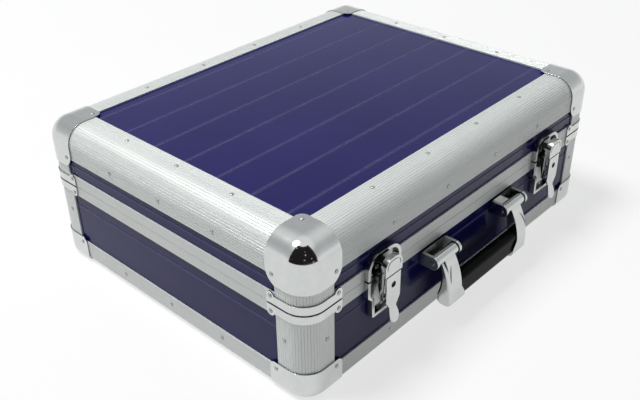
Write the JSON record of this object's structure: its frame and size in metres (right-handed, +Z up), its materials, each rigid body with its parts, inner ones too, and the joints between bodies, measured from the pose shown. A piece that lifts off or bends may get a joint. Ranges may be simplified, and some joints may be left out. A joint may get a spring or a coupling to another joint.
{
  "type": "flight case",
  "caption": "Flight case with ribbed edge extrusions, ball corners, grooved glossy panels, draw latches, a drop handle and a hinged lid.",
  "frame": {"origin": "middle of the whole case on the plane its feet stand on", "axes": "+X to the right along the latch and handle side, -Y out of that side, +Z up"},
  "size_m": [0.454, 0.3882, 0.1571],
  "materials": {
    "aluminium_extrusion": "anodised silver, finely ribbed along its length",
    "chrome_corner": "bright mirror plating",
    "chrome_hardware": "bright plating, slightly soft",
    "brass_plug": "dark, oiled lock barrel",
    "rivet_steel": "plain rivet heads",
    "blue_laminate": "glossy dark purple blue laminate",
    "black_grip": "black, satin",
    "grey_foam": "soft grey foam lining",
    "black_rubber": "matt"
  },
  "bodies": {
    "base": {"base_closure_corner_brackets": "chrome_corner", "base_closure_strips": "aluminium_extrusion", "base_corner_caps": "chrome_corner", "base_corner_columns": "aluminium_extrusion", "base_edge_extrusions_long": "aluminium_extrusion", "base_edge_extrusions_short": "aluminium_extrusion", "base_floor_pad": "grey_foam", "base_floor_panel": "blue_laminate", "base_front_panel": "blue_laminate", "base_left_panel": "blue_laminate", "base_rear_panel": "blue_laminate", "base_right_panel": "blue_laminate", "base_rivets": "rivet_steel", "base_wall_pads": "grey_foam", "handle_bracket_left": "chrome_hardware", "handle_bracket_right": "chrome_hardware", "handle_pin_left": "chrome_hardware", "handle_pin_right": "chrome_hardware", "hinge_base_leaves": "chrome_hardware", "hinge_pins": "chrome_hardware", "latch_base_left": "chrome_hardware", "latch_base_right": "chrome_hardware", "lever_pin_left": "chrome_hardware", "lever_pin_right": "chrome_hardware", "rubber_feet": "black_rubber"},
    "lid": {"lid_ball_corner_caps": "chrome_corner", "lid_closure_corner_brackets": "chrome_corner", "lid_closure_strips": "aluminium_extrusion", "lid_corner_columns": "aluminium_extrusion", "lid_edge_extrusions_long": "aluminium_extrusion", "lid_edge_extrusions_short": "aluminium_extrusion", "lid_front_panel": "blue_laminate", "lid_left_panel": "blue_laminate", "lid_pad": "grey_foam", "lid_rear_panel": "blue_laminate", "lid_right_panel": "blue_laminate", "lid_rivets": "rivet_steel", "lid_top_panel": "blue_laminate", "catch_plate_left": "chrome_hardware", "catch_plate_right": "chrome_hardware", "hinge_lid_leaves": "chrome_hardware"},
    "handle": {"handle_arm_left": "chrome_hardware", "handle_arm_right": "chrome_hardware", "handle_grip": "black_grip"},
    "latch_lever_left": {"latch_lever_left": "chrome_hardware", "claw_pin_left": "chrome_hardware"},
    "latch_claw_left": {"latch_claw_left": "chrome_hardware"},
    "lock_plug_left": {"lock_plug_left": "brass_plug"},
    "latch_lever_right": {"latch_lever_right": "chrome_hardware", "claw_pin_right": "chrome_hardware"},
    "latch_claw_right": {"latch_claw_right": "chrome_hardware"},
    "lock_plug_right": {"lock_plug_right": "brass_plug"}
  },
  "joints": [
    {"name": "lid_hinge", "type": "hinge", "parent": "base", "child": "lid", "pos_m": [0, 0.1909, 0.0919], "axis": [-1, 0, 0], "range_deg": [0, 100]},
    {"name": "handle_swing", "type": "hinge", "parent": "base", "child": "handle", "pos_m": [0, -0.1781, 0.072], "axis": [-1, 0, 0], "range_deg": [0, 100]},
    {"name": "lever_left_swing", "type": "hinge", "parent": "base", "child": "latch_lever_left", "pos_m": [-0.133, -0.1719, 0.0889], "axis": [-1, 0, 0], "range_deg": [0, 90]},
    {"name": "claw_left_pivot", "type": "hinge", "parent": "latch_lever_left", "child": "latch_claw_left", "pos_m": [-0.133, -0.1753, 0.0729], "axis": [1, 0, 0], "range_deg": [0, 90]},
    {"name": "lock_left_turn", "type": "hinge", "parent": "latch_lever_left", "child": "lock_plug_left", "pos_m": [-0.133, -0.1775, 0.0836], "axis": [0, -1, 0], "range_deg": [0, 90]},
    {"name": "lever_right_swing", "type": "hinge", "parent": "base", "child": "latch_lever_right", "pos_m": [0.133, -0.1719, 0.0889], "axis": [-1, 0, 0], "range_deg": [0, 90]},
    {"name": "claw_right_pivot", "type": "hinge", "parent": "latch_lever_right", "child": "latch_claw_right", "pos_m": [0.133, -0.1753, 0.0729], "axis": [1, 0, 0], "range_deg": [0, 90]},
    {"name": "lock_right_turn", "type": "hinge", "parent": "latch_lever_right", "child": "lock_plug_right", "pos_m": [0.133, -0.1775, 0.0836], "axis": [0, -1, 0], "range_deg": [0, 90]}
  ],
  "couplings": [
    {"joint": "claw_left_pivot", "follows": "lever_left_swing", "ratio": 1},
    {"joint": "claw_right_pivot", "follows": "lever_right_swing", "ratio": 1}
  ]
}
